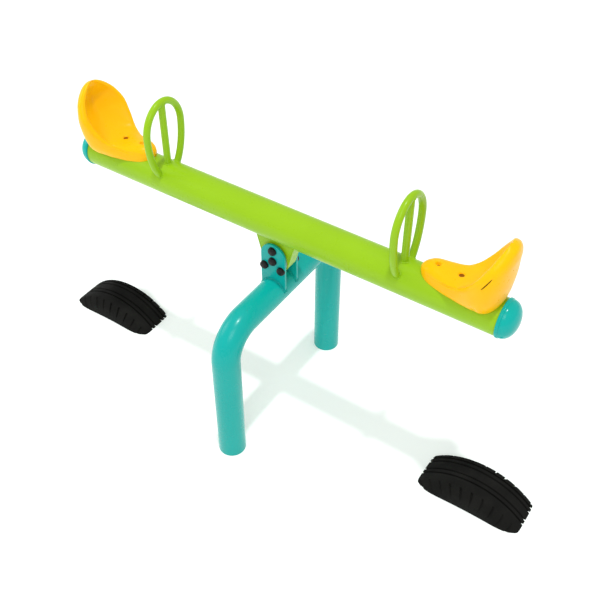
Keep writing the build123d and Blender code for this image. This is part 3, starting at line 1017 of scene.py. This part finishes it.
@dataclass
class Seats:
    """The two yellow bucket seats: the same moulding, turned half round for the other end."""

    body: Body = Body.BEAM
    bolt_x: tuple[float, float] = (0.627, 0.711)
    recess_radius: float = 0.0115
    recess_depth: float = 0.012
    steps_along: int = 190
    steps_across: int = 90
    roll_end: float = math.radians(126.0)
    roll_steps: int = 12
    shade_depth: float = 0.040
    fold_place: tuple[float, float] = (0.795, 0.962)
    fold_size: tuple[float, float] = (0.010, 0.016)
    fold_height: float = 0.006
    slit_along: tuple[float, float] = (0.566, 0.064)
    slit_across: tuple[float, float] = (0.955, -0.034)
    slit_half: float = 0.0016
    # Rim line X and Z, lean in degrees, half width, inner depth, outer depth, fullness, rim radius
    stations: tuple[tuple[float, ...], ...] = (
        (0.5700, 0.9860, 0.0, 0.004, -0.003, 0.004, 0.90, 0.0003),
        (0.5750, 0.9860, 0.0, 0.017, -0.012, 0.020, 0.70, 0.0003),
        (0.5880, 0.9870, 0.0, 0.031, -0.022, 0.042, 0.60, 0.0003),
        (0.6130, 0.9890, 0.0, 0.043, -0.0295, 0.060, 0.50, 0.0004),
        (0.6600, 0.9910, 2.0, 0.055, -0.025, 0.064, 0.50, 0.0010),
        (0.7000, 0.9985, 10.0, 0.068, -0.013, 0.072, 0.55, 0.0030),
        (0.7350, 1.0190, 22.0, 0.084, 0.006, 0.100, 0.60, 0.0080),
        (0.7670, 1.0550, 34.0, 0.103, 0.030, 0.138, 0.65, 0.0125),
        (0.7980, 1.1040, 54.0, 0.112, 0.048, 0.096, 0.85, 0.0140),
        (0.8220, 1.1480, 62.0, 0.095, 0.044, 0.064, 0.90, 0.0150),
        (0.8340, 1.1745, 65.0, 0.073, 0.027, 0.052, 0.90, 0.0155),
        (0.8410, 1.1905, 66.0, 0.054, 0.0110, 0.042, 0.90, 0.0155),
        (0.8455, 1.2010, 67.0, 0.036, 0.0050, 0.035, 0.90, 0.0145),
        (0.8480, 1.2070, 68.0, 0.020, 0.0040, 0.028, 0.90, 0.0080),
        (0.8490, 1.2095, 68.0, 0.006, 0.0040, 0.020, 0.90, 0.0024),
    )

    @property
    def bowl(self) -> slice:
        """Which points of a section belong to the bowl."""
        start = self.steps_across + self.roll_steps
        return slice(start, start + self.steps_across)

    def sections(self) -> tuple[np.ndarray, np.ndarray, np.ndarray]:
        """The seat's closed sections.

        From rim to rim the outer face is the outer depth times the sine of a turn raised to the
        fullness. The rim is a roll that goes most of the way round a half circle, and the bowl
        starts at the roll's own slope and falls as one less a power of the share of the width.
        Where the inner depth is negative, a crown rises over the rim line as the sine's root.

        Returns:
            The positions along Y, the depths under the rim line, and the painted shade of each
            point, from nought to one, which grows with the depth in the bowl.
        """
        rows = eased(np.array(self.stations), self.steps_along)
        width, inner, outer, full, rim = (rows[:, i, None] for i in range(3, 8))
        rim = np.minimum(rim, width * 0.40)
        turn = np.linspace(0.0, math.pi, self.steps_across)[None, :]
        ease = turn - 0.09 * np.sin(2 * turn)
        sine, cosine = np.clip(np.sin(ease), 0.0, 1.0), np.cos(ease)
        outer_y, outer_n = width * cosine, rim + (outer - rim) * sine**full
        roll = np.linspace(0.0, self.roll_end, self.roll_steps + 2)[None, 1:-1]
        near_y, roll_n = -(width - rim) - rim * np.cos(roll), rim - rim * np.sin(roll)
        lip_y = width - rim + rim * math.cos(self.roll_end)
        lip_n = rim - rim * math.sin(self.roll_end)
        slope = -math.cos(self.roll_end) / math.sin(self.roll_end)
        drop = np.maximum(inner - lip_n, 0.002)
        power = np.clip(slope * lip_y / drop, 1.5, 4.0)
        bowl = lip_n + (inner - lip_n) * (1 - np.abs(cosine) ** power)
        crown = lip_n + (inner - lip_n) * sine**0.70
        dished = step_up(inner, -0.006, 0.014)
        inner_y, inner_n = -lip_y * cosine, dished * bowl + (1 - dished) * crown
        y = np.concatenate([outer_y, near_y, inner_y, -near_y[:, ::-1]], axis=1)
        n = np.concatenate([outer_n, roll_n, inner_n, roll_n[:, ::-1]], axis=1)
        # Painted shade: the deeper a point lies in the bowl, the more its colour is darkened.
        shade = np.zeros_like(y)
        shade[:, self.bowl] = np.clip((inner_n - rim) / self.shade_depth, 0.0, 1.0)
        return y, n, shade

    def shape(self) -> tuple[Grid, np.ndarray]:
        """The right seat's points, with its recesses and the fold at its hem.

        Returns:
            The points and the painted shade, from the depth in the bowl and the bolt recesses.
        """
        rows = eased(np.array(self.stations), self.steps_along)
        y, n, shade = self.sections()
        lean = np.radians(rows[:, 2])[:, None]
        x = rows[:, 0, None] + n * np.sin(lean)
        z = rows[:, 1, None] - n * np.cos(lean)
        top = np.zeros_like(y, dtype=bool)
        top[:, self.bowl] = True
        for bolt in self.bolt_x:
            away = np.hypot(x - bolt, y)
            wall = step_up(away, self.recess_radius * 0.55, self.recess_radius)
            z = z - np.where(top, self.recess_depth * (1 - wall), 0.0)
        (fold_x, fold_z), (size_x, size_z) = self.fold_place, self.fold_size
        fold = np.exp(-((x - fold_x) / size_x) ** 2 - ((z - fold_z) / size_z) ** 2)
        y = y + np.where(~top & (y < 0), self.fold_height * fold, 0.0)
        # Painted shade in the bolt recesses: the bowl's colour darkens near each bolt.
        nearest = np.minimum(*(np.hypot(x - bolt, y) for bolt in self.bolt_x))
        recess_shade = np.where(top, 1 - step_up(nearest, 0.006, 0.0125), 0.0)
        return np.stack([x, y, z], axis=-1), np.maximum(shade, 1.6 * recess_shade)

    def slit(self, grid: Grid) -> MeshData:
        """The painted shadow of the narrow slit in the outer face, a dark lens-shaped sliver over
        it.

        It follows a line that is straight in the grid's rows and columns, and its half width is
        the root of a sine, so it is pointed at both ends.

        Args:
            grid: the seat's points.

        Returns:
            The vertices and the faces.
        """
        share = np.linspace(0.0, 1.0, 25)
        row = (self.slit_along[0] + self.slit_along[1] * share) * (self.steps_along - 1)
        col = (self.slit_across[0] + self.slit_across[1] * share) * (self.steps_across - 1)
        middle = self.sample(grid, row, col)
        ahead = self.sample(grid, row + 2, col) - self.sample(grid, row - 2, col)
        beside = self.sample(grid, row, col + 2) - self.sample(grid, row, col - 2)
        out = np.cross(ahead, beside)
        out /= np.linalg.norm(out, axis=1, keepdims=True)
        out *= np.sign(-out[:, 1:2])
        side = np.cross(tangents(middle), out)
        half = (self.slit_half * np.sin(math.pi * share) ** 0.35)[:, None]
        lift = middle + 0.0005 * out
        lens = np.stack([lift - side * half, lift + 0.0002 * out, lift + side * half], axis=1)
        return surface(lens)

    @staticmethod
    def sample(grid: Grid, row: np.ndarray, col: np.ndarray) -> np.ndarray:
        """Points between the grid's points, by weighting the four around each place."""
        r, c = row.astype(int), col.astype(int)
        u, v = (row - r)[:, None], (col - c)[:, None]
        return ((1 - u) * (1 - v) * grid[r, c] + (1 - u) * v * grid[r, c + 1]
                + u * (1 - v) * grid[r + 1, c] + u * v * grid[r + 1, c + 1])

    def build(self) -> None:
        """Builds both seats, each with the painted shadow of its slit."""
        grid, shade = self.shape()
        for end in End:
            turn = np.array([end.value, end.value, 1.0])
            nodes = (f"{end.label}_seat",)
            piece = Piece(f"{end.label}_bucket_seat", self.body, "yellow_plastic", nodes, 60.0)
            obj = piece.build(surface(grid * turn, wrap_cols=True, caps=True), YELLOW_PLASTIC)
            # The painted shade of the bowl and its recesses, kept on the points for the finish.
            depth = obj.data.attributes.new("bowl_painted_shade", "FLOAT", "POINT")
            depth.data.foreach_set("value", shade.reshape(-1).astype(np.float32))
            # The slit's painted shadow, a dark sliver over the seat.
            points, quads = self.slit(grid)
            slit = Piece(f"{end.label}_seat_slit", self.body, "yellow_plastic")
            slit.build((points * turn, quads), SLIT_SHADOW_SHEET)


@dataclass
class Tyres:
    """The two slices of road tyre set flat on the ground."""

    body: Body = Body.STAND
    x: float = 0.911
    offsets: tuple[float, float] = (0.006, -0.016)
    radius: float = 0.290
    crown_z: float = 0.092
    tread_half: float = 0.080
    section_half: float = 0.096
    groove_places: tuple[float, ...] = (0.056, 0.036, -0.006, -0.027)
    groove_half: float = 0.0030
    groove_depth: float = 0.0080
    slot_step: float = math.radians(9.2)
    slot_half: float = 0.0040
    notch_half: float = 0.0042
    steps_round: int = 280
    side_steps: int = 56
    tread_steps: int = 110

    @property
    def floor(self) -> float:
        """How far the ground lies above the tyre's axis."""
        return self.radius - self.crown_z

    def outline(self) -> np.ndarray:
        """The tyre's section as Y and radius: near wall, tread, far wall, then the inside."""
        w, s, r = self.tread_half, self.section_half, self.radius
        floor, edge = self.floor, w - 0.022
        side = eased(np.array([(s - 0.003, floor), (s - 0.001, floor + 0.018), (s, floor + 0.042),
                               (s - 0.004, floor + 0.064), (w, r - 0.010), (w - 0.008, r - 0.003),
                               (edge, r - 0.0005)]), self.side_steps)
        tread_y = np.linspace(edge, -edge, self.tread_steps + 2)[1:-1]
        crown = np.full_like(tread_y, r) - 0.0005 * (tread_y / edge) ** 2
        tread = np.stack([-tread_y, crown], axis=-1)
        near = side * np.array([-1.0, 1.0])
        lining = [(s - 0.017, floor), (s - 0.014, floor + 0.042), (w - 0.012, r - 0.024),
                  (w - 0.032, r - 0.017)]
        inside = np.array(lining + [(-across, out) for across, out in reversed(lining)])
        return np.concatenate([near, tread, side[::-1], eased(inside, 40)])

    def shape(self, end: End) -> MeshData:
        """One slice.

        Each point of the section is turned round the tyre's axis by a share of the angle at which
        its radius meets the ground, so every edge lies on the floor. The tread is then sunk by
        the four grooves, the slanted slots of the near shoulder and the notches of the far one.

        Args:
            end: which end of the beam it lies under.

        Returns:
            The vertices and the faces.
        """
        outline = self.outline()
        y, r = outline[:, 0][None, :], outline[:, 1][None, :]
        floor = self.floor
        share = np.linspace(-1.0, 1.0, self.steps_round)[:, None]
        turn = share * np.arccos(np.clip(floor / np.maximum(r, floor), -1.0, 1.0))
        outer = np.zeros_like(y, dtype=bool)
        outer[:, :2 * self.side_steps + self.tread_steps] = True
        tread = step_up(r, floor + 0.045, floor + 0.062)
        lip = (self.groove_half * 0.6, self.groove_half * 1.25)
        grooves = sum(1 - step_up(np.abs(y - place), *lip) for place in self.groove_places)
        slant = turn + (y + 0.045) * 1.5
        near_slot = self.comb(slant, self.slot_half) * step_up(-y, 0.066, 0.069)
        near_slot = near_slot * step_up(r, floor + 0.034, floor + 0.040)
        stagger = turn + 0.35 * self.slot_step - y * 0.6
        far_slot = self.comb(stagger, self.notch_half) * step_up(y, 0.060, 0.063)
        shoulder = np.maximum(near_slot * 1.3, far_slot * 1.3)
        shoulder = shoulder * step_up(r, floor + 0.030, floor + 0.040)
        depth = self.groove_depth * np.maximum(grooves * tread, shoulder)
        r = np.where(outer, r - depth, r + 0.0 * turn)
        turn = share * np.arccos(np.clip(floor / np.maximum(r, floor), -1.0, 1.0))
        x = end.value * self.x + r * np.sin(turn)
        z = np.maximum(r * np.cos(turn) - floor, 0.0)
        offset = self.offsets[0 if end is End.LEFT else 1]
        grid = np.stack([x, np.broadcast_to(y + offset, x.shape), z], axis=-1)
        return surface(grid, wrap_cols=True, caps=True)

    def comb(self, turn: np.ndarray, half_width: float) -> np.ndarray:
        """One on narrow lines a slot's step apart, nought between them, with soft edges."""
        step, half = self.slot_step, half_width / self.radius
        away = np.abs((turn / step + 0.5) % 1.0 - 0.5) * step
        return 1 - step_up(away, half * 0.6, half * 1.3)

    def build(self) -> None:
        """Builds both slices."""
        for end in End:
            nodes = (f"{end.label}_tyre",)
            piece = Piece(f"{end.label}_ground_tyre", self.body, "tyre_rubber", nodes, 50.0)
            piece.build(self.shape(end), TYRE_RUBBER)


def dress_node(node: str, material: bpy.types.Material) -> None:
    """Gives a CAD node that stays in view its finish."""
    obj = frame["nodes"][node]
    if not obj.material_slots:
        obj.data.materials.append(material)
    for slot in obj.material_slots:
        slot.material = material
    obj.data.polygons.foreach_set("use_smooth", np.ones(len(obj.data.polygons), dtype=bool))


@dataclass
class HiddenParts:
    """The CAD nodes inside the pivot and under the seats, which keep their own shapes."""

    finishes: dict[str, Finish] = field(default_factory=lambda: {
        "zinc_steel": ZINC_STEEL,
        "bush_rubber": BUSH_RUBBER,
        "green_coat": GREEN_COAT,
    })

    def build(self) -> None:
        """Dresses every node that is still shown, by its slot in the record."""
        slots = {s["node"]: s["material_slot"] for s in frame["record"]["subparts"]}
        for name, obj in frame["nodes"].items():
            # The seat bolts take the dark gold finish, which paints the shade in their recesses.
            finish = GOLD_STEEL_PAINTED_SHADE if name == "seat_bolts" else self.finishes.get(slots[name])
            if finish is not None and not obj.hide_render:
                dress_node(name, finish.material())
                LOG.info("dressed %s", name)


@dataclass
class Studio:
    """The pale floor, the soft light and the camera."""

    camera_place: Triple = (1.47515, -2.07750, 2.91300)
    camera_target: Triple = (-0.2699, 0.5214, 0.0)
    lens: float = 54.53
    sensor: float = 36.0
    floor_half: float = 14.0
    floor_gap: float = 0.0004
    floor_glow: float = 0.18
    sky_strength: float = 0.66
    sun_strength: float = 1.45
    sun_spread: float = math.radians(3.0)
    sun_way: Triple = (-0.08, 0.06, -1.0)

    def floor(self) -> None:
        """A wide flat floor, just under the feet."""
        h, z = self.floor_half, -self.floor_gap
        mesh = bpy.data.meshes.new("floor")
        corners = [(-h, -h, z), (h, -h, z), (h, h, z), (-h, h, z)]
        mesh.from_pydata(corners, [], [(0, 1, 2, 3)])
        obj = placed("floor", mesh)
        paint = Finish("floor_paint", (0.88, 0.90, 0.89), 0.9).material()
        inputs = paint.node_tree.nodes["Principled BSDF"].inputs
        inputs["Emission Color"].default_value = (0.84, 1.0, 0.91, 1.0)
        inputs["Emission Strength"].default_value = self.floor_glow
        mesh.materials.append(paint)

    def sky(self) -> None:
        """An even white surround."""
        world = bpy.data.worlds.new("surround")
        world.use_nodes = True
        background = world.node_tree.nodes["Background"]
        background.inputs["Color"].default_value = (1.0, 1.0, 1.0, 1.0)
        background.inputs["Strength"].default_value = self.sky_strength
        bpy.context.scene.world = world

    @staticmethod
    def lamp(name: str, place: Triple, aim: Triple, size: float, power: float) -> None:
        """A square soft light.

        Args:
            name: its name.
            place: where it stands.
            aim: the point that it faces.
            size: length of a side.
            power: watts.
        """
        light = bpy.data.lights.new(name, "AREA")
        light.shape = "SQUARE"
        light.size = size
        light.energy = power
        placed(name, light, place, aim)

    def sun(self) -> None:
        """A soft overhead light that gives the faint shadow under the beam."""
        light = bpy.data.lights.new("overhead", "SUN")
        light.energy = self.sun_strength
        light.angle = self.sun_spread
        placed("overhead", light, aim=self.sun_way)

    def camera(self) -> None:
        """The camera, level in roll, aimed at its target."""
        data = bpy.data.cameras.new("camera")
        data.lens = self.lens
        data.sensor_width = self.sensor
        data.clip_end = 100.0
        obj = placed("camera", data, self.camera_place, self.camera_target)
        bpy.context.scene.camera = obj

    def build(self) -> None:
        """Sets the stage."""
        bpy.context.scene.view_settings.view_transform = "Standard"
        self.camera()
        self.floor()
        self.sky()
        self.sun()
        self.lamp("key", (1.6, -3.4, 4.6), (0.0, 0.0, 0.6), 2.2, 60.0)
        self.lamp("side", (-3.6, -1.2, 2.6), (0.0, 0.0, 0.7), 2.0, 30.0)


def clear_view() -> None:
    """Removes the objects that a new Blender file starts with."""
    for name in ("Cube", "Camera", "Light"):
        obj = bpy.data.objects.get(name)
        if obj is not None:
            bpy.data.objects.remove(obj)


def main() -> None:
    """Builds the sub-assemblies in order."""
    logging.basicConfig(level=logging.INFO, format="%(name)s: %(message)s")
    clear_view()
    Studio().build()
    beam = BeamTube()
    StandFrame().build()
    PivotFasteners().build()
    beam.build()
    Saddle().build(beam)
    Handles().build(beam)
    Seats().build()
    Tyres().build()
    HiddenParts().build()


if __name__ == "__main__":
    main()
